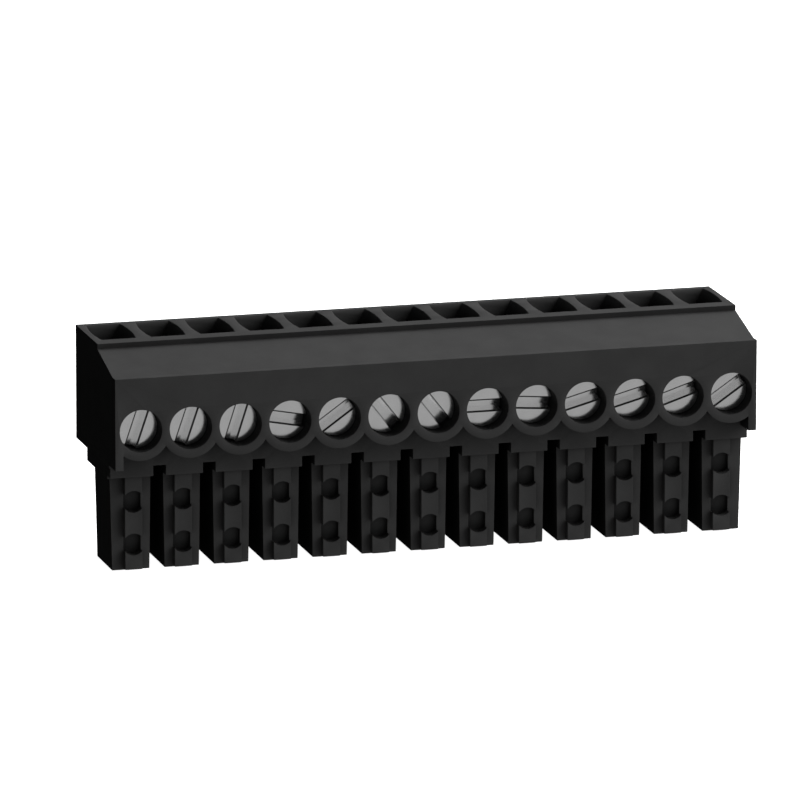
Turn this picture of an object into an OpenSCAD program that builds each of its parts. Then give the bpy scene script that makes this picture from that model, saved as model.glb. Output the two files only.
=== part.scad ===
// Pluggable screw terminal block, a row of positions in one moulded housing.
// Each position has a clamp screw in the front face, a clamp cage that the screw draws forward,
// and a socket contact that runs from the cage down into a plug prong.
// Frame: X runs along the row, the front faces -Y, Z is up.
// The origin lies under the middle of the housing, level with the prong tips.

/* [Row] */
// Number of positions
positions = 13; // [2:1:19]
// Distance from one position to the next
pitch = 3.5; // [3.2:0.05:5.1]
// Wall between an outermost screw bore and the end face
end_wall = 0.32; // [0.2:0.02:2]

/* [Body] */
// Depth from the front face to the back face
body_depth = 11.1; // [10:0.1:16]
// Height from the lower face of the body to its top
body_h = 8; // [7:0.1:12]
// Depth of the flat top, from the back face
top_depth = 6.2; // [5.6:0.1:8]
// Height of the step at the front of the flat top
collar_h = 0.38; // [0.1:0.02:0.9]
// Height from the top down to the upper edge of the front face
face_drop = 1.4; // [1:0.05:2]
// Depth of the flat ledge between the bevel and the front face
ledge_depth = 0.75; // [0.2:0.05:2]

/* [Front bosses] */
// Height of the screw axes above the lower face of the body
axis_rise = 2.9; // [2.6:0.05:4]
// Wall between two neighbouring screw bores
bore_web = 0.54; // [0.3:0.02:1]
// Wall of the round boss below each bore
boss_wall = 0.6; // [0.4:0.02:1]
// Width of the straight lug at each end of the bosses
lug_w = 0.57; // [0.3:0.01:1]
// Height of the lugs' lower ends above the lower face of the body
lug_rise = 0.2; // [0:0.05:0.8]

/* [Skirt and prongs] */
// Setback of the skirt behind the front face
skirt_recess = 1.8; // [1:0.05:2]
// Setback of the skirt from the back face
skirt_inset = 2.75; // [1:0.05:3.4]
// Setback of the skirt's ends from the end faces
skirt_side = 0.08; // [0:0.02:0.2]
// Height of the skirt below the body
skirt_h = 0.95; // [0.6:0.05:2]
// Height of the skirt's front strip above its lower face
skirt_lift = 0.22; // [0:0.02:0.5]
// Gap between two neighbouring prongs at the skirt
notch_w = 0.88; // [0.6:0.02:1.2]
// Length of the prongs below the skirt
prong_len = 6.45; // [5.8:0.05:9]
// Depth of a prong, front to back
prong_depth = 4.2; // [3.2:0.02:4.4]
// Setback of the prongs behind the front of the skirt
prong_setback = 0.84; // [0.6:0.02:1.4]
// Narrowing of each side of a prong towards its tip
prong_draft = 0.09; // [0:0.01:0.15]
// Setback of the outermost prongs from the end face, at the skirt
end_inset = 0.24; // [0.1:0.02:0.4]
// Narrowing of the outermost prongs' outer side towards the tip
end_draft = 0.15; // [0:0.01:0.3]
// Wall at each side of a prong, at its tip
prong_wall = 0.37; // [0.25:0.01:0.5]
// Wall at the front and the back of a prong
prong_skin = 0.55; // [0.45:0.05:0.8]
// Wall at the tip of a prong
tip_wall = 0.7; // [0.4:0.05:1.2]
// Width of the rib on a prong's front
rib_w = 1.21; // [0.8:0.01:1.6]
// Height of the rib over the prong's front
rib_proud = 0.5; // [0.2:0.02:0.8]
// Height of the rib's lower end above the prong's tip
rib_lift = 0.1; // [0:0.05:0.6]
// Diameter of the round windows in the rib
window_d = 1.52; // [1:0.02:2]
// Depth of the windows below the prong's front
window_sink = 0.33; // [0.05:0.01:0.4]
// Height of the lower window's centre above the prong's tip
window_low = 1.86; // [1.2:0.02:2.2]
// Distance between the two windows' centres
window_step = 3; // [2.2:0.05:3.4]
// Width of the square pin hole in a prong's tip
pin_hole = 1.2; // [0.9:0.05:1.4]
// Width of the chamfer around a pin hole
pin_lead = 0.2; // [0:0.02:0.3]

/* [Wire entries] */
// Wall between two neighbouring funnels at their middle
funnel_web = 0.74; // [0.5:0.02:1.2]
// Outward bow of a funnel's two sides
funnel_bow = 0.18; // [0.05:0.01:0.4]
// Wall behind a funnel
funnel_back = 0.55; // [0.3:0.05:1]
// Rim in front of a funnel
funnel_front = 1.16; // [0.6:0.02:2]
// Depth of a funnel's sloping sides
funnel_h = 0.95; // [0.5:0.05:1.4]
// Width of the throat below a funnel
throat_w = 1.6; // [1:0.05:2]
// Height of the straight throat above the clamp chamber
throat_h = 0.6; // [0.2:0.05:1.2]

/* [Clamp screw] */
// Diameter of the thread
thread_d = 2; // [1.6:0.05:2.3]
// Depth of the screw head below the front face
head_recess = 1.15; // [0.3:0.05:1.6]
// Height of the screw head
head_h = 1.2; // [0.8:0.05:1.8]
// Width of the driver slot
slot_w = 0.7; // [0.4:0.05:1]
// Depth of the driver slot
slot_depth = 0.8; // [0.2:0.05:1]
// Chamfer along both edges of the driver slot
slot_chamfer = 0.11; // [0.02:0.01:0.15]
// Chamfer at the screw's tip
tip_chamfer = 0.3; // [0.1:0.05:0.6]

/* [Clamp cage] */
// Setback of an open cage from the back face
cage_inset = 0.55; // [0.2:0.05:1]
// Height of a cage
cage_h = 3; // [2.6:0.05:4]
// Side walls of a cage
cage_wall = 0.35; // [0.2:0.05:0.5]
// Back wall of a cage, which presses on the wire
cage_back_t = 0.45; // [0.3:0.05:0.8]
// Tapped front wall of a cage
cage_front_t = 1; // [0.6:0.05:1.4]
// Outer fold radius of a cage
cage_fold = 0.3; // [0.1:0.05:0.4]
// Room for a wire in an open cage
wire_gap = 1.8; // [1.2:0.05:2.4]
// Room left when a cage is closed on its bus bar
closed_gap = 0.1; // [0.02:0.02:0.4]

/* [Socket contact] */
// Thickness of the contact strip
contact_t = 0.4; // [0.25:0.05:0.6]
// Inner radius of the strip's folds
bend_r = 0.3; // [0.1:0.05:0.5]
// Height of the folded collar at the top of the spring leaves
collar_len = 1.6; // [0.8:0.1:2.4]
// Setback of a leaf's edges from the sides of the collar
leaf_side = 0.2; // [0.05:0.05:0.4]
// Height of the leaves' nip above the prong's tip
nip_z = 2.2; // [1.6:0.05:3]
// Gap between the two leaves at the nip
nip_gap = 0.6; // [0.2:0.05:0.9]
// Gap between the two leaves at their mouth
mouth_gap = 1.3; // [0.9:0.05:1.6]

/* [Clearances] */
// Gap around a screw head and under it
head_gap = 0.05; // [0.02:0.01:0.1]
// Gap between a screw's thread and its cage
thread_gap = 0.03; // [0.01:0.01:0.08]
// Gap between a screw's thread and the side walls of its cage
side_gap = 0.08; // [0.03:0.01:0.2]
// Gap between a screw's shank and its hole in the housing
shank_gap = 0.08; // [0.02:0.01:0.2]
// Gap between a cage and its chamber
cage_gap = 0.08; // [0.04:0.01:0.2]
// Gap between a bus bar and the cage around it
bus_gap = 0.1; // [0.05:0.01:0.2]
// Gap between a contact and the housing
contact_gap = 0.05; // [0.02:0.01:0.1]
// Gap between a contact's leaves and the floor of their cavity
leaf_gap = 0.3; // [0.1:0.05:0.6]

/* [Hidden] */
$fn = 64;
// Overlap of a cutter past the face that it opens
over = 0.5;
// Angle at which each screw was left, anticlockwise from level, seen from the front
slot_angles = [71, 71, 72, -14, 35, -52, -52, 0, -6, 15, 15, 18, 34];

// Housing: places along the row, in depth and in height
bore_r = (pitch - bore_web) / 2;
boss_r = bore_r + boss_wall;
row_len = (positions - 1) * pitch;
body_len = row_len + 2 * (bore_r + end_wall);
y_front = -body_depth / 2;
y_back = body_depth / 2;
y_top_front = y_back - top_depth;
y_skirt_front = y_front + skirt_recess;
y_skirt_back = y_back - skirt_inset;
y_prong_front = y_skirt_front + prong_setback;
y_prong_back = y_prong_front + prong_depth;
z_skirt = prong_len;
z_body = z_skirt + skirt_h;
z_top = z_body + body_h;
z_face = z_top - face_drop;
z_axis = z_body + axis_rise;

// Prongs: width at the skirt, and the cavity for the contact
prong_w = pitch - notch_w;
end_reach = bore_r + end_wall - end_inset;
cavity_w = prong_w - 2 * prong_draft - 2 * prong_wall;
y_cavity_front = y_prong_front + prong_skin;
y_cavity_back = y_prong_back - prong_skin;
y_pin = (y_cavity_front + y_cavity_back) / 2;

// Clamp screw: head and seat from the front face
head_r = bore_r - head_gap;
thread_r = thread_d / 2;
y_head = y_front + head_recess;
y_neck = y_head + head_h;
y_seat = y_neck + head_gap;

// Clamp cage: open, from the back face forward
cage_bore_w = thread_d + 2 * side_gap;
cage_w = cage_bore_w + 2 * cage_wall;
chamber_w = cage_w + 2 * cage_gap;
y_cage_back = y_back - cage_inset;
y_wire_back = y_cage_back - cage_back_t;
y_bus_back = y_wire_back - wire_gap;
y_bus_front = y_bus_back - contact_t;
y_cage_nut = y_bus_front - bus_gap;
y_cage_front = y_cage_nut - cage_front_t;
travel = wire_gap - closed_gap;
y_chamber = y_cage_front - travel - cage_gap;
y_screw_tip = y_bus_front - head_gap;
z_chamber = z_axis - cage_h / 2 - cage_gap;
z_roof = z_axis + cage_h / 2 + cage_gap;

// Socket contact: bus bar, crank and collar
bus_w = cage_bore_w - 2 * bus_gap;
socket_w = cavity_w - 2 * contact_gap;
y_plate_back = y_cavity_back - contact_gap;
y_plate_front = y_plate_back - contact_t;
z_bus_top = z_roof - contact_gap;
z_crank_top = z_chamber - contact_gap;
z_crank = z_crank_top - contact_t;
z_collar = z_skirt - collar_len;
z_mouth = tip_wall + leaf_gap;

// Wire entries: funnel and throat
funnel_w = pitch - funnel_web;
y_funnel_back = y_back - funnel_back;
y_funnel_front = y_top_front + funnel_front;
y_funnel_mid = (y_funnel_back + y_funnel_front) / 2;
funnel_half = (y_funnel_back - y_funnel_front) / 2;
funnel_bow_r = (funnel_half * funnel_half + funnel_bow * funnel_bow) / (2 * funnel_bow);
funnel_taper = (funnel_w - throat_w) / 2;
z_throat = z_roof + throat_h;

function position_x(i) = i * pitch - row_len / 2;
function node_name(kind, i) = str(kind, "_", i < 9 ? "0" : "", i + 1);
function row_names(kind) = [for (i = [0 : positions - 1]) node_name(kind, i)];

// Extrudes a side view, drawn as [y, z], along X about the middle
module along_x(width) {
    rotate([90, 0, 90])
        linear_extrude(width, center = true)
            children();
}

// Extrudes a front view, drawn as [x, z], along Y from y0 to y1
module along_y(y0, y1) {
    translate([0, y1, 0])
        rotate([90, 0, 0])
            linear_extrude(y1 - y0)
                children();
}

// Round bar along Y, from y0 to y1
module bar_y(r, y0, y1) {
    translate([0, y0, 0])
        rotate([-90, 0, 0])
            cylinder(h = y1 - y0, r = r);
}

// Cone along Y, from radius r0 at y0 to radius r1 at y1
module cone_y(r0, r1, y0, y1) {
    translate([0, y0, 0])
        rotate([-90, 0, 0])
            cylinder(h = y1 - y0, r1 = r0, r2 = r1);
}

// Block of a width about the middle, between two depths and two heights
module block(width, y0, y1, z0, z1) {
    translate([-width / 2, y0, z0])
        cube([width, y1 - y0, z1 - z0]);
}

// Rectangle between two corners, with round corners
module round_rectangle(corner_a, corner_b, r) {
    size = corner_b - corner_a;
    translate(corner_a + [r, 0])
        square([size.x - 2 * r, size.y]);
    translate(corner_a + [0, r])
        square([size.x, size.y - 2 * r]);
    for (x = [corner_a.x + r, corner_b.x - r], y = [corner_a.y + r, corner_b.y - r])
        translate([x, y])
            circle(r);
}

// Quarter of a fold in the contact strip, in the quadrant that sx and sy name
module fold(centre, sx, sy) {
    reach = bend_r + contact_t;
    translate(centre)
        intersection() {
            difference() {
                circle(reach);
                circle(bend_r);
            }
            translate([min(0, sx * reach), min(0, sy * reach)])
                square(reach);
        }
}

// Body in one side view, with the front wall above the screw axes
module body_block() {
    along_x(body_len)
        polygon([
            [y_back, z_body],
            [y_back, z_top],
            [y_top_front, z_top],
            [y_top_front, z_top - collar_h],
            [y_front + ledge_depth, z_face],
            [y_front, z_face],
            [y_front, z_axis],
            [y_skirt_front, z_axis],
            [y_skirt_front, z_body]
        ]);
}

// Skirt below the body, with a shallower strip in front of the prongs
module skirt() {
    along_x(body_len - 2 * skirt_side)
        polygon([
            [y_skirt_front, z_body],
            [y_skirt_front, z_skirt + skirt_lift],
            [y_prong_front, z_skirt + skirt_lift],
            [y_prong_front, z_skirt],
            [y_skirt_back, z_skirt],
            [y_skirt_back, z_body]
        ]);
}

// Round bosses below the screw axes, cut off level with the end faces
module bosses() {
    intersection() {
        for (i = [0 : positions - 1])
            translate([position_x(i), 0, z_axis])
                bar_y(boss_r, y_front, y_skirt_front);
        block(body_len, y_front, y_skirt_front, z_axis - boss_r, z_axis + boss_r);
    }
}

// Straight lugs that close the row of bosses at both ends
module end_lugs() {
    for (side = [-1, 1])
        translate([side * (body_len - lug_w) / 2, 0, 0])
            block(lug_w, y_front, y_skirt_front, z_body + lug_rise, z_axis);
}

// One prong with its rib, tapering to the tip
module prong(i) {
    left_top = i == 0 ? end_reach : prong_w / 2;
    left_tip = left_top - (i == 0 ? end_draft : prong_draft);
    right_top = i == positions - 1 ? end_reach : prong_w / 2;
    right_tip = right_top - (i == positions - 1 ? end_draft : prong_draft);
    along_y(y_prong_front, y_prong_back)
        polygon([[-left_tip, 0], [right_tip, 0], [right_top, z_skirt], [-left_top, z_skirt]]);
    block(rib_w, y_prong_front - rib_proud, y_prong_front, rib_lift, z_skirt + skirt_lift);
}

// Round windows across the width of the rib
module rib_windows() {
    for (step = [0, 1])
        translate([0, 0, window_low + step * window_step])
            intersection() {
                bar_y(window_d / 2, y_prong_front - rib_proud - over, y_prong_front + window_sink);
                block(rib_w, y_prong_front - rib_proud - over, y_prong_front + window_sink, -window_d, window_d);
            }
}

// Side view of a pin hole or of its lead-in, for either direction across the tip
module pin_view(middle) {
    half = pin_hole / 2;
    translate([middle, 0])
        polygon([
            [-half - pin_lead - over, -over],
            [half + pin_lead + over, -over],
            [half, pin_lead],
            [half, tip_wall + over],
            [-half, tip_wall + over],
            [-half, pin_lead]
        ]);
}

// Square pin hole in a prong's tip, with a chamfered mouth
module pin_mouth() {
    intersection() {
        along_x(pin_hole + 2 * (pin_lead + over))
            pin_view(y_pin);
        along_y(y_prong_front, y_prong_back)
            pin_view(0);
    }
}

// Cavity for a contact: hollow prong, and the slot of the crank under the clamp chamber
module contact_cavity() {
    block(cavity_w, y_cavity_front, y_cavity_back, tip_wall, z_chamber);
    for (strip_w = [bus_w, socket_w])
        along_x(strip_w + 2 * contact_gap)
            polygon([
                [y_bus_back + contact_gap, z_chamber + cage_gap],
                [y_bus_back + contact_gap, z_crank - contact_gap],
                [y_cavity_back + bend_r, z_crank - contact_gap],
                [y_cavity_back, z_crank - contact_gap - bend_r],
                [y_pin, z_crank - contact_gap - bend_r],
                [y_pin, z_chamber],
                [y_chamber + cage_gap, z_chamber],
                [y_chamber + cage_gap, z_chamber + cage_gap]
            ]);
}

// One bowed and sloping side of a funnel
module funnel_side(side) {
    slope = funnel_taper / funnel_h;
    translate([side * (funnel_bow_r - funnel_w / 2), y_funnel_mid, z_top - funnel_h])
        cylinder(h = funnel_h + over, r1 = funnel_bow_r - funnel_taper, r2 = funnel_bow_r + over * slope);
}

// Funnel in the top, and the throat that leads a wire behind the bus bar
module wire_entry() {
    intersection() {
        along_x(pitch)
            polygon([
                [y_funnel_back, z_top + over],
                [y_funnel_back, z_top],
                [y_wire_back, z_throat],
                [y_wire_back, z_roof - cage_gap],
                [y_bus_back + contact_gap, z_roof - cage_gap],
                [y_bus_back + contact_gap, z_throat],
                [y_funnel_front, z_top],
                [y_funnel_front, z_top + over]
            ]);
        union() {
            intersection() {
                funnel_side(-1);
                funnel_side(1);
            }
            block(throat_w, y_funnel_front, y_funnel_back, z_roof - cage_gap, z_top - funnel_h);
        }
    }
}

// Screw bore, shank hole and clamp chamber, which is open at the back
module clamp_cuts() {
    translate([0, 0, z_axis]) {
        bar_y(bore_r, y_front - over, y_seat);
        bar_y(thread_r + shank_gap, y_seat - over, y_chamber + over);
    }
    block(chamber_w, y_chamber, y_back + over, z_chamber, z_roof);
}

// Gaps between the prongs, up to the lower face of the body
module notches() {
    for (i = [0 : positions - 2])
        translate([position_x(i) + pitch / 2, 0, 0])
            block(notch_w, y_skirt_front - over, y_skirt_back + over, z_skirt - over, z_body);
}

// Moulded housing of the whole row
module housing() {
    color("#202022")
        difference() {
            union() {
                body_block();
                skirt();
                bosses();
                end_lugs();
                for (i = [0 : positions - 1])
                    translate([position_x(i), 0, 0])
                        prong(i);
            }
            notches();
            for (i = [0 : positions - 1])
                translate([position_x(i), 0, 0]) {
                    clamp_cuts();
                    wire_entry();
                    contact_cavity();
                    pin_mouth();
                    rib_windows();
                }
        }
}

// Cutter of a driver slot with chamfered edges, level
module driver_slot() {
    half = slot_w / 2;
    mouth = half + slot_chamfer + over;
    along_x(2 * bore_r)
        polygon([
            [y_head - over, mouth],
            [y_head + slot_chamfer, half],
            [y_head + slot_depth, half],
            [y_head + slot_depth, -half],
            [y_head + slot_chamfer, -half],
            [y_head - over, -mouth]
        ]);
}

// Slotted screw, its head in the bore and its tip just short of the bus bar
module clamp_screw(i) {
    y_thread_end = y_screw_tip - tip_chamfer;
    color("#b9bcc0")
        translate([position_x(i), 0, z_axis])
            difference() {
                union() {
                    bar_y(head_r, y_head, y_neck);
                    bar_y(thread_r, y_neck, y_thread_end);
                    cone_y(thread_r, thread_r - tip_chamfer, y_thread_end, y_screw_tip);
                }
                rotate([0, -slot_angles[i % len(slot_angles)], 0])
                    driver_slot();
            }
}

// Folded sleeve around the bus bar, with a tapped front wall, shown open
module clamp_cage(i) {
    color("#c9c4b4")
        translate([position_x(i), 0, z_axis])
            difference() {
                translate([0, 0, -cage_h / 2])
                    linear_extrude(cage_h)
                        difference() {
                            round_rectangle([-cage_w / 2, y_cage_front], [cage_w / 2, y_cage_back], cage_fold);
                            translate([-cage_bore_w / 2, y_cage_nut])
                                square([cage_bore_w, y_wire_back - y_cage_nut]);
                        }
                bar_y(thread_r + thread_gap, y_cage_front - over, y_cage_nut + over);
            }
}

// Side view of the crank, the level stretch of the strip between its two folds
module crank_view() {
    y_lower = y_plate_back + bend_r;
    translate([y_lower, z_crank])
        square([y_bus_front - bend_r - y_lower, contact_t]);
}

// Side view of the bus bar and its fold to the crank
module bus_view() {
    z_upper = z_crank_top + bend_r;
    translate([y_bus_front, z_upper])
        square([contact_t, z_bus_top - z_upper]);
    fold([y_bus_front - bend_r, z_upper], 1, -1);
    crank_view();
}

// Side view of the plate that hangs from the crank, and its fold
module plate_view() {
    z_lower = z_crank - bend_r;
    translate([y_plate_front, z_collar])
        square([contact_t, z_lower - z_collar]);
    fold([y_plate_back + bend_r, z_lower], -1, 1);
    crank_view();
}

// Side view of the rear spring leaf, from its root in the collar through the nip to the mouth
module leaf_view() {
    nip = y_pin + nip_gap / 2;
    mouth = y_pin + mouth_gap / 2;
    polygon([
        [y_plate_back, z_skirt],
        [y_plate_front, z_skirt],
        [y_plate_front, z_collar],
        [nip, nip_z],
        [mouth, z_mouth],
        [mouth + contact_t, z_mouth],
        [nip + contact_t, nip_z],
        [y_plate_back, z_collar]
    ]);
}

// Folded contact: bus bar, crank, collar around the pin's path and two spring leaves
module socket_contact(i) {
    leaf_w = socket_w - 2 * leaf_side;
    collar_depth = y_plate_back - y_pin;
    color("#c7b27a")
        translate([position_x(i), 0, 0]) {
            along_x(bus_w)
                bus_view();
            along_x(socket_w)
                plate_view();
            translate([0, y_pin, z_collar])
                linear_extrude(collar_len)
                    difference() {
                        square([socket_w, 2 * collar_depth], center = true);
                        square([socket_w, 2 * collar_depth] - 2 * [contact_t, contact_t], center = true);
                    }
            along_x(leaf_w)
                leaf_view();
            translate([0, y_pin, 0])
                mirror([0, 1, 0])
                    translate([0, -y_pin, 0])
                        along_x(leaf_w)
                            leaf_view();
        }
}

housing();
for (i = [0 : positions - 1]) {
    clamp_screw(i);
    clamp_cage(i);
    socket_contact(i);
}
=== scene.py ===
"""Looks of a pluggable screw terminal block with a row of clamp screws.

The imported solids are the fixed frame. The housing, the clamp cages and the socket contacts keep their
solids and get rounded edges and finishes. Each clamp screw becomes a mesh with a cut slot and a rolled
thread. A pale floor, soft studio lights and a long lens set the picture.
"""

import logging
import math
from dataclasses import dataclass, field
from enum import Enum

import bmesh
import bpy
from mathutils import Matrix, Vector


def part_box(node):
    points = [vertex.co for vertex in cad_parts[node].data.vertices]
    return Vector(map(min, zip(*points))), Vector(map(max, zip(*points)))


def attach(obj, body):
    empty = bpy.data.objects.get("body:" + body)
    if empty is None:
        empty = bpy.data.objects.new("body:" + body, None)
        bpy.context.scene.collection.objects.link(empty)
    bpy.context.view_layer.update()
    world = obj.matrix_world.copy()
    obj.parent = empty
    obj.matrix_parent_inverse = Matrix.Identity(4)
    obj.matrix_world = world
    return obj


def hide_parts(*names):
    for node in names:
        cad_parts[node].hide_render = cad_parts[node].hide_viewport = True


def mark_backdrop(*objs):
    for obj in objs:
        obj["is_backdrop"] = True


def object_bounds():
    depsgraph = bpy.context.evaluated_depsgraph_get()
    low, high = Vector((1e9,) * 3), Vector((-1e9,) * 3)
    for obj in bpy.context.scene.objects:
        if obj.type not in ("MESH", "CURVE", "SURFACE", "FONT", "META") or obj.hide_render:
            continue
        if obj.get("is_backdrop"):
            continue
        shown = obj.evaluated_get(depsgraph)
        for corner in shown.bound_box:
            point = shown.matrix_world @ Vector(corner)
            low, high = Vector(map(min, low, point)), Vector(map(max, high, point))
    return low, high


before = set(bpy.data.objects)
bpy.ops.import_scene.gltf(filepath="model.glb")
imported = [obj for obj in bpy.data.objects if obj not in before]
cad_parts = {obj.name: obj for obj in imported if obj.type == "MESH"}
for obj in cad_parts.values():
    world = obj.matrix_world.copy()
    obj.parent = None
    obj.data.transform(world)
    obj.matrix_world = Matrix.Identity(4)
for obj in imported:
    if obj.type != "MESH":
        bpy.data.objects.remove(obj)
cad_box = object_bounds()

MM = 0.001

# Range in which most values of a noise lie
NOISE_LOW = 0.3
NOISE_HIGH = 0.7

# Colours with the opacity that their sockets take
OPAQUE = 1.0
WHITE = (1.0, 1.0, 1.0, OPAQUE)

Colour = tuple[float, float, float]
Stretch = tuple[float, float, float]

log = logging.getLogger("terminal_block")


class Slot(Enum):
    """The record's material slots, one for each kind of piece."""

    HOUSING = "housing_plastic"
    SCREW = "screw_steel"
    CAGE = "cage_steel"
    CONTACT = "contact_metal"


class ShaderGraph:
    """A material's node tree, with short ways to add nodes and join them to its shader."""

    def __init__(self, name: str) -> None:
        """Start a material whose tree holds one principled shader.

        Args:
            name: The material's name.
        """
        self.material: bpy.types.Material = bpy.data.materials.new(name)
        self.material.use_nodes = True
        self.tree: bpy.types.NodeTree = self.material.node_tree
        self.shader: bpy.types.Node = self.tree.nodes["Principled BSDF"]
        self.place: bpy.types.NodeSocket = self.add("ShaderNodeTexCoord").outputs["Object"]

    def add(self, kind: str, **values: object) -> bpy.types.Node:
        """Add a node and set its input sockets.

        Args:
            kind: The node's type.
            values: Input values by socket name, with spaces written as underscores.

        Returns:
            The new node.
        """
        node = self.tree.nodes.new(kind)
        for name, value in values.items():
            node.inputs[name.replace("_", " ")].default_value = value
        return node

    def join(self, start: bpy.types.NodeSocket, end: bpy.types.NodeSocket) -> None:
        """Link an output socket to an input socket."""
        self.tree.links.new(start, end)

    def set(self, **values: object) -> None:
        """Set the shader's own sockets, with spaces in their names written as underscores."""
        for name, value in values.items():
            self.shader.inputs[name.replace("_", " ")].default_value = value

    def stretched(self, scale: Stretch) -> bpy.types.NodeSocket:
        """Give object coordinates scaled along each axis.

        Args:
            scale: Scale along X, Y and Z.

        Returns:
            The scaled coordinates.
        """
        mapping = self.add("ShaderNodeMapping", Scale=scale)
        self.join(self.place, mapping.inputs["Vector"])
        return mapping.outputs["Vector"]

    def noise(self, scale: float, detail: float,
              place: bpy.types.NodeSocket | None = None) -> bpy.types.NodeSocket:
        """Add a noise over the surface.

        Args:
            scale: Cells per metre.
            detail: Number of finer layers.
            place: Coordinates to read, or None for the object's own.

        Returns:
            The noise, between 0 and 1.
        """
        node = self.add("ShaderNodeTexNoise", Scale=scale, Detail=detail)
        self.join(place or self.place, node.inputs["Vector"])
        return node.outputs["Fac"]

    def spread(self, source: bpy.types.NodeSocket, low: float, high: float) -> bpy.types.NodeSocket:
        """Map the middle of a noise to a range of values.

        Args:
            source: The noise.
            low: Value at the noise's low side.
            high: Value at the noise's high side.

        Returns:
            The mapped value.
        """
        node = self.add("ShaderNodeMapRange", From_Min=NOISE_LOW, From_Max=NOISE_HIGH, To_Min=low,
                        To_Max=high)
        self.join(source, node.inputs["Value"])
        return node.outputs["Result"]

    def blend(self, source: bpy.types.NodeSocket, low: Colour, high: Colour) -> bpy.types.NodeSocket:
        """Blend two colours by a noise.

        Args:
            source: The noise.
            low: Colour at the noise's low side.
            high: Colour at the noise's high side.

        Returns:
            The blended colour.
        """
        ramp = self.add("ShaderNodeValToRGB")
        first, last = ramp.color_ramp.elements
        first.position, last.position = NOISE_LOW, NOISE_HIGH
        first.color, last.color = (*low, OPAQUE), (*high, OPAQUE)
        self.join(source, ramp.inputs["Fac"])
        return ramp.outputs["Color"]

    def paint_recess_shade(self, colour: bpy.types.NodeSocket, reach: float,
                        samples: int) -> bpy.types.NodeSocket:
        """Paint shade into a colour in corners and recesses, by ambient occlusion.

        Args:
            colour: The colour on open surfaces.
            reach: Distance at which a facing wall still counts, in metres.
            samples: Number of directions that are tried at each point.

        Returns:
            The colour with its painted shade.
        """
        # Painted shade: the occlusion darkens the colour wherever walls stand close by.
        node = self.add("ShaderNodeAmbientOcclusion", Distance=reach)
        node.samples = samples
        self.join(colour, node.inputs["Color"])
        return node.outputs["Color"]

    def tint(self, colour: bpy.types.NodeSocket) -> None:
        """Give the shader its colour."""
        self.join(colour, self.shader.inputs["Base Color"])

    def roughen(self, source: bpy.types.NodeSocket, low: float, high: float) -> None:
        """Vary the shader's roughness between two values by a noise.

        Args:
            source: The noise.
            low: Roughness at the noise's low side.
            high: Roughness at the noise's high side.
        """
        self.join(self.spread(source, low, high), self.shader.inputs["Roughness"])

    def emboss(self, source: bpy.types.NodeSocket, depth: float, strength: float) -> None:
        """Raise the surface by a noise.

        Args:
            source: The noise.
            depth: Height of the relief, in metres.
            strength: Share of the relief that shows.
        """
        bump = self.add("ShaderNodeBump", Distance=depth, Strength=strength)
        self.join(source, bump.inputs["Height"])
        self.join(bump.outputs["Normal"], self.shader.inputs["Normal"])


@dataclass(frozen=True)
class MouldedPlastic:
    """Black filled nylon with the even matt grain of an eroded mould, and painted shade in its corners and
    recesses.
    """

    name: str = "black_nylon"
    dark: Colour = (0.046, 0.046, 0.046)
    light: Colour = (0.053, 0.053, 0.053)
    painted_shade_reach: float = 2.2 * MM
    painted_shade_samples: int = 8
    cloud_scale: float = 420.0
    cloud_detail: float = 4.0
    grain_scale: float = 22000.0
    grain_detail: float = 2.0
    grain_depth: float = 0.0015 * MM
    grain_strength: float = 0.25
    smooth: float = 0.84
    matt: float = 0.94
    specular: float = 0.04

    def material(self) -> bpy.types.Material:
        """Make the plastic's material."""
        graph = ShaderGraph(self.name)
        graph.set(Specular_IOR_Level=self.specular)
        cloud = graph.noise(self.cloud_scale, self.cloud_detail)
        colour = graph.blend(cloud, self.dark, self.light)
        # Painted shade: ambient occlusion darkens the base colour in corners and recesses.
        graph.tint(graph.paint_recess_shade(colour, self.painted_shade_reach, self.painted_shade_samples))
        grain = graph.noise(self.grain_scale, self.grain_detail)
        graph.roughen(grain, self.smooth, self.matt)
        graph.emboss(grain, self.grain_depth, self.grain_strength)
        return graph.material


@dataclass(frozen=True)
class TurnedSteel:
    """Bright plated steel with faint turning rings about the screw's axis."""

    name: str = "turned_steel"
    dark: Colour = (0.89, 0.89, 0.89)
    light: Colour = (0.95, 0.95, 0.95)
    cloud_scale: float = 900.0
    cloud_detail: float = 5.0
    ring_scale: float = 5000.0
    ring_waver: float = 2.0
    ring_detail: float = 1.0
    ring_depth: float = 0.0006 * MM
    ring_strength: float = 0.3
    bright: float = 0.12
    dull: float = 0.17

    def material(self) -> bpy.types.Material:
        """Make the steel's material, whose rings run about the object's own Y axis."""
        graph = ShaderGraph(self.name)
        graph.set(Metallic=1.0)
        cloud = graph.noise(self.cloud_scale, self.cloud_detail)
        graph.tint(graph.blend(cloud, self.dark, self.light))
        graph.roughen(cloud, self.bright, self.dull)
        rings = graph.add("ShaderNodeTexWave", Scale=self.ring_scale, Distortion=self.ring_waver,
                          Detail=self.ring_detail)
        rings.wave_type = "RINGS"
        rings.rings_direction = "Y"
        graph.join(graph.place, rings.inputs["Vector"])
        graph.emboss(rings.outputs["Fac"], self.ring_depth, self.ring_strength)
        return graph.material


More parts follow.
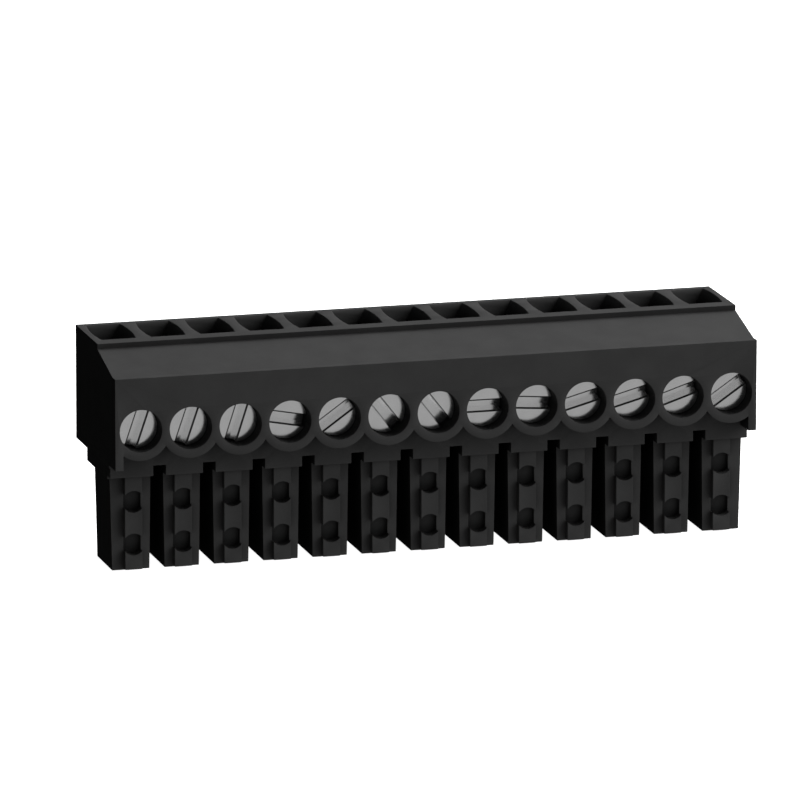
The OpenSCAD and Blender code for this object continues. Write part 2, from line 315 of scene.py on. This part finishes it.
@dataclass(frozen=True)
class PlatedStrip:
    """Plated sheet metal with faint streaks along its rolling direction."""

    name: str
    dark: Colour
    light: Colour
    bright: float
    dull: float
    streak_scale: float = 6000.0
    streak_detail: float = 3.0
    streak_stretch: Stretch = (1.0, 0.06, 1.0)
    streak_depth: float = 0.0012 * MM
    streak_strength: float = 0.3
    cloud_scale: float = 700.0
    cloud_detail: float = 5.0

    def material(self) -> bpy.types.Material:
        """Make the strip's material."""
        graph = ShaderGraph(self.name)
        graph.set(Metallic=1.0)
        cloud = graph.noise(self.cloud_scale, self.cloud_detail)
        graph.tint(graph.blend(cloud, self.dark, self.light))
        rolled = graph.stretched(self.streak_stretch)
        streaks = graph.noise(self.streak_scale, self.streak_detail, rolled)
        graph.roughen(streaks, self.bright, self.dull)
        graph.emboss(streaks, self.streak_depth, self.streak_strength)
        return graph.material


@dataclass(frozen=True)
class EdgeRound:
    """Rounding of a solid's edges, made by modifiers so that the solid itself stays as it is."""

    radius: float
    segments: int = 2
    weld: float = 0.001 * MM
    edge_angle: float = math.radians(30.0)

    def apply(self, piece: bpy.types.Object) -> None:
        """Join a solid's split corners and round its edges.

        Args:
            piece: The solid's object.
        """
        weld = piece.modifiers.new("joined_corners", "WELD")
        weld.merge_threshold = self.weld
        bevel = piece.modifiers.new("round_edges", "BEVEL")
        bevel.width = self.radius
        bevel.segments = self.segments
        bevel.limit_method = "ANGLE"
        bevel.angle_limit = self.edge_angle
        bevel.miter_outer = "MITER_ARC"
        bevel.use_clamp_overlap = False
        normals = piece.modifiers.new("face_normals", "WEIGHTED_NORMAL")
        normals.keep_sharp = False


@dataclass
class SolidPiece:
    """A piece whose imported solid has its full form, and needs only its edges and its finish."""

    node: str
    edges: EdgeRound
    slot: Slot

    def build(self) -> bpy.types.Object:
        """Round the solid's edges.

        Returns:
            The solid's object.
        """
        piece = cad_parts[self.node]
        self.edges.apply(piece)
        return piece

    def dress(self, piece: bpy.types.Object, material: bpy.types.Material) -> None:
        """Give the solid its finish.

        Args:
            piece: The solid's object.
            material: The finish's material.
        """
        for place in piece.material_slots:
            place.material = material


@dataclass
class Housing(SolidPiece):
    """The one-piece moulded body with its bores, funnels, skirt and prongs."""

    node: str = "housing"
    edges: EdgeRound = EdgeRound(radius=0.025 * MM)
    slot: Slot = Slot.HOUSING


@dataclass
class ClampCage(SolidPiece):
    """A folded cage that its screw draws against the wire."""

    node: str = ""
    edges: EdgeRound = EdgeRound(radius=0.04 * MM)
    slot: Slot = Slot.CAGE


@dataclass
class SocketContact(SolidPiece):
    """A bent strip from the clamp down to the two leaves that grip a header pin."""

    node: str = ""
    edges: EdgeRound = EdgeRound(radius=0.03 * MM)
    slot: Slot = Slot.CONTACT


@dataclass
class ClampScrew:
    """A slotted clamp screw, built about its own axis with the head towards -Y.

    The thread rises up to crest_start, stays at its crest up to crest_end and falls up to root_start, each
    a share of one turn. Corners within level_slack of a plane count as lying on it.
    """

    node: str
    body: str
    head_height: float = 1.2 * MM
    slot_width: float = 0.7 * MM
    slot_depth: float = 0.8 * MM
    chamfer: float = 0.11 * MM
    crest_radius: float = 1.0 * MM
    thread_depth: float = 0.23 * MM
    lead: float = 0.4 * MM
    crest_start: float = 5 / 16
    crest_end: float = 7 / 16
    root_start: float = 12 / 16
    tip_chamfer: float = 0.3 * MM
    level_slack: float = 0.01 * MM
    key_digits: int = 6
    slot_steps: int = 6
    rim_steps: int = 30
    edge_angle: float = math.radians(30.0)
    low: Vector = field(init=False)
    high: Vector = field(init=False)

    def __post_init__(self) -> None:
        """Take the screw's place and length from its solid."""
        self.low, self.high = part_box(self.node)

    @property
    def axis_point(self) -> Vector:
        """The point on the screw's axis in the frame's own X and Z."""
        middle = (self.low + self.high) / 2
        return Vector((middle.x, 0.0, middle.z))

    @property
    def head_radius(self) -> float:
        """The head's radius, from its solid."""
        return (self.high.x - self.low.x) / 2

    @property
    def neck(self) -> float:
        """The Y at which the head ends and the thread starts."""
        return self.low.y + self.head_height

    def slot_angle(self) -> float:
        """Measure the slot's direction on the solid, from the corners of its floor.

        Returns:
            The angle from +X towards +Z, in radians.
        """
        floor = self.low.y + self.slot_depth
        corners = [v.co - self.axis_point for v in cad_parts[self.node].data.vertices
                   if abs(v.co.y - floor) < self.level_slack]
        along = sum(c.x * c.x - c.z * c.z for c in corners)
        across = sum(2 * c.x * c.z for c in corners)
        return math.atan2(across, along) / 2

    def columns(self) -> list[float]:
        """List the angles of the columns round the screw, from the slot's right mouth.

        Returns:
            The angles in order: slot mouth, upper rim, left mouth, lower rim.
        """
        start = self.slot_angle()
        half = math.asin(self.slot_width / 2 / self.head_radius)
        angles = []
        for turn in (0.0, math.pi):
            mouth = 2 * half / self.slot_steps
            rim = (math.pi - 2 * half) / self.rim_steps
            angles += [start + turn - half + i * mouth for i in range(self.slot_steps)]
            angles += [start + turn + half + i * rim for i in range(self.rim_steps)]
        return angles

    def thread_radius(self, y: float, phase: float) -> float:
        """Give the shank's radius at a place along the thread.

        Args:
            y: Distance along the axis.
            phase: Share of one turn of the thread, from 0 at the start of a flank.

        Returns:
            The radius, within the tip's chamfer and the run-out under the head.
        """
        fall = (self.root_start - phase) / (self.root_start - self.crest_end)
        rise = min(phase / self.crest_start, fall, 1.0)
        run_out = min((y - self.neck) / self.lead, 1.0)
        radius = self.crest_radius - self.thread_depth * (1.0 - max(rise, 0.0) * run_out)
        return min(radius, self.crest_radius - self.tip_chamfer + self.high.y - y)

    def ring(self, mesh: bmesh.types.BMesh, angles: list[float], radius: float,
             y: float) -> list[bmesh.types.BMVert]:
        """Add one vertex for each column.

        Args:
            mesh: The mesh under construction.
            angles: The columns' angles.
            radius: The ring's radius.
            y: The ring's place along the axis.

        Returns:
            The ring's vertices.
        """
        return [mesh.verts.new((radius * math.cos(a), y, radius * math.sin(a))) for a in angles]

    def add_head(self, mesh: bmesh.types.BMesh, angles: list[float]) -> list[bmesh.types.BMVert]:
        """Add the slotted head down to its underside.

        Args:
            mesh: The mesh under construction.
            angles: The columns' angles.

        Returns:
            The vertices of the underside's rim.
        """
        count = len(angles)
        half = count // 2
        top = self.ring(mesh, angles, self.head_radius, self.low.y)
        floor = self.ring(mesh, angles, self.head_radius, self.low.y + self.slot_depth)
        under = self.ring(mesh, angles, self.head_radius, self.neck)
        for first in (self.slot_steps, half + self.slot_steps):
            last = first + self.rim_steps
            land = [top[i % count] for i in range(first, last + 1)]
            mesh.faces.new(land)
            mesh.faces.new((land[0], land[-1], floor[last % count], floor[first]))
            for i in range(first, last):
                j = (i + 1) % count
                mesh.faces.new((top[i], top[j], floor[j], floor[i]))
        mouths = [*range(self.slot_steps + 1), *range(half, half + self.slot_steps + 1)]
        mesh.faces.new([floor[i] for i in mouths])
        for i in range(count):
            j = (i + 1) % count
            mesh.faces.new((floor[i], floor[j], under[j], under[i]))
        for start in (0, half):
            for i in range(start + 1, start + self.slot_steps):
                mesh.verts.remove(top[i])
        return under

    def add_thread(self, mesh: bmesh.types.BMesh, angles: list[float],
                   under: list[bmesh.types.BMVert]) -> None:
        """Add the right-hand thread from the head's underside to the tip.

        Args:
            mesh: The mesh under construction.
            angles: The columns' angles.
            under: The vertices of the underside's rim.
        """
        phases = (0.0, self.crest_start, self.crest_end, self.root_start)
        turns = math.ceil((self.high.y - self.neck) / self.lead) + 1
        rows = turns * len(phases)
        count = len(angles)
        made: dict[tuple[int, float], bmesh.types.BMVert] = {}

        def vertex(column: int, row: int) -> bmesh.types.BMVert:
            """Find or add the vertex where a column meets a row of the helix."""
            wrapped = column % count
            turn = row // len(phases) + column // count
            twist = (angles[wrapped] - angles[0]) / math.tau
            share = phases[row % len(phases)]
            wanted = self.neck + self.lead * (turn + share - twist)
            y = min(max(wanted, self.neck), self.high.y)
            key = (wrapped, round(y / MM, self.key_digits))
            if key not in made:
                phase = ((y - self.neck) / self.lead + twist) % 1.0
                radius = self.thread_radius(y, share if y == wanted else phase)
                angle = angles[wrapped]
                made[key] = mesh.verts.new((radius * math.cos(angle), y, radius * math.sin(angle)))
            return made[key]

        for column in range(count):
            for row in range(-len(phases), rows + len(phases)):
                corners = (vertex(column, row), vertex(column + 1, row),
                           vertex(column + 1, row + 1), vertex(column, row + 1))
                face = list(dict.fromkeys(corners))
                if len(face) > 2:
                    mesh.faces.new(face)
        neck = [vertex(column, -2 * len(phases)) for column in range(count)]
        tip = [vertex(column, rows + 2 * len(phases)) for column in range(count)]
        mesh.faces.new(tip)
        for i in range(count):
            j = (i + 1) % count
            mesh.faces.new((under[i], under[j], neck[j], neck[i]))

    def cut_chamfers(self, mesh: bmesh.types.BMesh) -> None:
        """Cut flat chamfers along both edges of the slot.

        Args:
            mesh: The finished mesh.
        """
        face = self.low.y + self.level_slack
        edges = [e for e in mesh.edges if e.calc_length() > self.head_radius
                 and all(v.co.y < face for v in e.verts)]
        bmesh.ops.bevel(mesh, geom=edges, offset=self.chamfer, segments=1, profile=0.5, affect="EDGES",
                        clamp_overlap=False)

    def build(self) -> bpy.types.Object:
        """Make the screw's mesh and put it in the place of its solid.

        Returns:
            The screw's object.
        """
        angles = self.columns()
        mesh = bmesh.new()
        under = self.add_head(mesh, angles)
        self.add_thread(mesh, angles, under)
        bmesh.ops.recalc_face_normals(mesh, faces=mesh.faces)
        self.cut_chamfers(mesh)
        data = bpy.data.meshes.new(f"{self.node}_mesh")
        mesh.to_mesh(data)
        mesh.free()
        data.shade_smooth()
        data.set_sharp_from_angle(angle=self.edge_angle)
        piece = bpy.data.objects.new(f"{self.node}_turned", data)
        bpy.context.scene.collection.objects.link(piece)
        piece.location = self.axis_point
        return piece

    def dress(self, piece: bpy.types.Object, material: bpy.types.Material) -> None:
        """Give the screw its finish and seat it on its body.

        Args:
            piece: The screw's object.
            material: The finish's material.
        """
        piece.data.materials.append(material)
        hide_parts(self.node)
        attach(piece, self.body)


@dataclass
class TerminalBlock:
    """The whole part: one housing and a screw, a cage and a contact at each position."""

    plastic: MouldedPlastic = MouldedPlastic()
    steel: TurnedSteel = TurnedSteel()
    cage_strip: PlatedStrip = PlatedStrip(
        name="nickel_strip", dark=(0.50, 0.49, 0.47), light=(0.58, 0.57, 0.55), bright=0.24, dull=0.36)
    contact_strip: PlatedStrip = PlatedStrip(
        name="tin_strip", dark=(0.60, 0.60, 0.60), light=(0.70, 0.70, 0.69), bright=0.30, dull=0.42)

    def positions(self) -> list[str]:
        """List the positions' two-digit numbers, from the frame's screws."""
        return sorted(name.rsplit("_", 1)[1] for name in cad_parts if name.startswith("clamp_screw"))

    def build(self) -> None:
        """Build and dress every piece, and report each one."""
        cage_metal = self.cage_strip.material()
        contact_metal = self.contact_strip.material()
        steel = self.steel.material()
        self.place(Housing(), self.plastic.material())
        for number in self.positions():
            self.place(ClampScrew(node=f"clamp_screw_{number}", body=f"screw_{number}"), steel)
            self.place(ClampCage(node=f"clamp_cage_{number}"), cage_metal)
            self.place(SocketContact(node=f"socket_contact_{number}"), contact_metal)

    def place(self, part: SolidPiece | ClampScrew, material: bpy.types.Material) -> None:
        """Build and dress one piece.

        Args:
            part: The piece's maker.
            material: The finish's material.
        """
        piece = part.build()
        part.dress(piece, material)
        log.info("%s: %s in %s", type(part).__name__, piece.name, material.name)


@dataclass(frozen=True)
class SoftLight:
    """A soft light panel that faces the part and stays out of the picture.

    Angles are in degrees, with azimuth 0 in front of the part and 90 on its right. Lengths are in metres
    and the power in watts.
    """

    name: str
    azimuth: float
    elevation: float
    width: float
    depth: float
    power: float
    distance: float = 0.40

    def build(self, target: Vector) -> bpy.types.Object:
        """Hang the light on its side of the part.

        Args:
            target: The point that the light faces.

        Returns:
            The light's object.
        """
        around, up = math.radians(self.azimuth), math.radians(self.elevation)
        away = Vector((math.sin(around) * math.cos(up), -math.cos(around) * math.cos(up), math.sin(up)))
        data = bpy.data.lights.new(self.name, "AREA")
        data.shape = "RECTANGLE"
        data.size, data.size_y = self.width, self.depth
        data.energy = self.power
        lamp = bpy.data.objects.new(self.name, data)
        lamp.location = target + away * self.distance
        lamp.rotation_euler = (-away).to_track_quat("-Z", "Y").to_euler()
        lamp.visible_camera = False
        bpy.context.scene.collection.objects.link(lamp)
        return lamp


@dataclass(frozen=True)
class PaleFloor:
    """A plain white floor that is seen by the camera and sends no light back to the part."""

    radius: float = 4.0
    sides: int = 96
    dark: Colour = (0.80, 0.80, 0.80)
    light: Colour = (0.82, 0.82, 0.82)
    cloud_scale: float = 3.0
    cloud_detail: float = 2.0
    matt: float = 0.9
    glow: float = 1.0

    def material(self) -> bpy.types.Material:
        """Make the floor's white, which glows a little so that it stays even."""
        graph = ShaderGraph("white_floor")
        graph.set(Roughness=self.matt, Specular_IOR_Level=0.0, Emission_Color=WHITE,
                  Emission_Strength=self.glow)
        cloud = graph.noise(self.cloud_scale, self.cloud_detail)
        graph.tint(graph.blend(cloud, self.dark, self.light))
        return graph.material

    def build(self, height: float) -> bpy.types.Object:
        """Lay the floor under the part.

        Args:
            height: The floor's Z.

        Returns:
            The floor's object.
        """
        mesh = bmesh.new()
        bmesh.ops.create_circle(mesh, cap_ends=True, radius=self.radius, segments=self.sides)
        data = bpy.data.meshes.new("floor_mesh")
        mesh.to_mesh(data)
        mesh.free()
        data.materials.append(self.material())
        floor = bpy.data.objects.new("floor", data)
        floor.location.z = height
        floor.visible_diffuse = False
        floor.visible_glossy = False
        floor.visible_shadow = False
        bpy.context.scene.collection.objects.link(floor)
        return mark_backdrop(floor)


@dataclass(frozen=True)
class LongLens:
    """The camera: a long lens from the front, a little to the left and above.

    Angles are in degrees. The focal length and the sensor are in millimetres, as the camera takes them.
    """

    yaw: float = 15.7208
    pitch: float = 13.2903
    roll: float = 0.0847
    aim: Vector = Vector((-0.9670 * MM, 0.7853 * MM, 9.7911 * MM))
    distance: float = 699.72 * MM
    focal_length: float = 456.568
    sensor: float = 36.0
    nearest: float = 10.0 * MM

    def build(self) -> bpy.types.Object:
        """Set up the scene's camera.

        Returns:
            The camera's object.
        """
        yaw, pitch = math.radians(self.yaw), math.radians(self.pitch)
        look = Vector((math.sin(yaw) * math.cos(pitch), math.cos(yaw) * math.cos(pitch), -math.sin(pitch)))
        right = Vector((math.cos(yaw), -math.sin(yaw), 0.0))
        axes = Matrix((right, right.cross(look), -look)).transposed()
        data = bpy.data.cameras.new("long_lens")
        data.sensor_width = self.sensor
        data.lens = self.focal_length
        data.clip_start = self.nearest
        camera = bpy.data.objects.new("long_lens", data)
        turn = Matrix.Rotation(math.radians(self.roll), 3, "Z")
        camera.matrix_world = Matrix.Translation(self.aim - look * self.distance) @ (axes @ turn).to_4x4()
        bpy.context.scene.collection.objects.link(camera)
        bpy.context.scene.camera = camera
        return camera


@dataclass
class Studio:
    """The floor, the lights, the dim room and the camera."""

    floor: PaleFloor = PaleFloor()
    lens: LongLens = LongLens()
    room_light: float = 0.002
    lights: tuple[SoftLight, ...] = (
        SoftLight("front_panel", azimuth=-2.0, elevation=1.0, width=0.56, depth=0.38, power=0.215),
        SoftLight("low_panel", azimuth=18.0, elevation=-42.0, width=0.50, depth=0.24, power=0.5),
        SoftLight("right_panel", azimuth=50.0, elevation=-3.0, width=0.26, depth=0.30, power=0.3),
        SoftLight("side_panel", azimuth=72.0, elevation=32.0, width=0.24, depth=0.24, power=0.85),
        SoftLight("high_panel", azimuth=42.0, elevation=35.0, width=0.24, depth=0.24, power=0.12),
        SoftLight("key_panel", azimuth=106.0, elevation=45.0, width=0.28, depth=0.28, power=2.95,
                  distance=0.45),
        SoftLight("left_panel", azimuth=-55.0, elevation=0.0, width=0.20, depth=0.30, power=0.04),
    )

    def room(self) -> None:
        """Make a dim room that looks white behind the floor."""
        world = bpy.data.worlds.new("pale_room")
        world.use_nodes = True
        nodes, links = world.node_tree.nodes, world.node_tree.links
        dim = nodes["Background"]
        dim.inputs["Color"].default_value = WHITE
        dim.inputs["Strength"].default_value = self.room_light
        white = nodes.new("ShaderNodeBackground")
        white.inputs["Color"].default_value = WHITE
        ray = nodes.new("ShaderNodeLightPath")
        mix = nodes.new("ShaderNodeMixShader")
        links.new(ray.outputs["Is Camera Ray"], mix.inputs["Fac"])
        links.new(dim.outputs["Background"], mix.inputs[1])
        links.new(white.outputs["Background"], mix.inputs[2])
        links.new(mix.outputs["Shader"], nodes["World Output"].inputs["Surface"])
        bpy.context.scene.world = world

    def build(self) -> None:
        """Set the stage round the part."""
        low, high = (Vector(corner) for corner in cad_box)
        self.floor.build(low.z)
        self.room()
        for light in self.lights:
            light.build((low + high) / 2)
            log.info("light: %s", light.name)
        self.lens.build()
        bpy.context.scene.view_settings.view_transform = "Standard"


def main() -> None:
    """Build the part and its stage in order."""
    logging.basicConfig(level=logging.INFO, format="%(name)s: %(message)s")
    TerminalBlock().build()
    Studio().build()


if __name__ == "__main__":
    main()
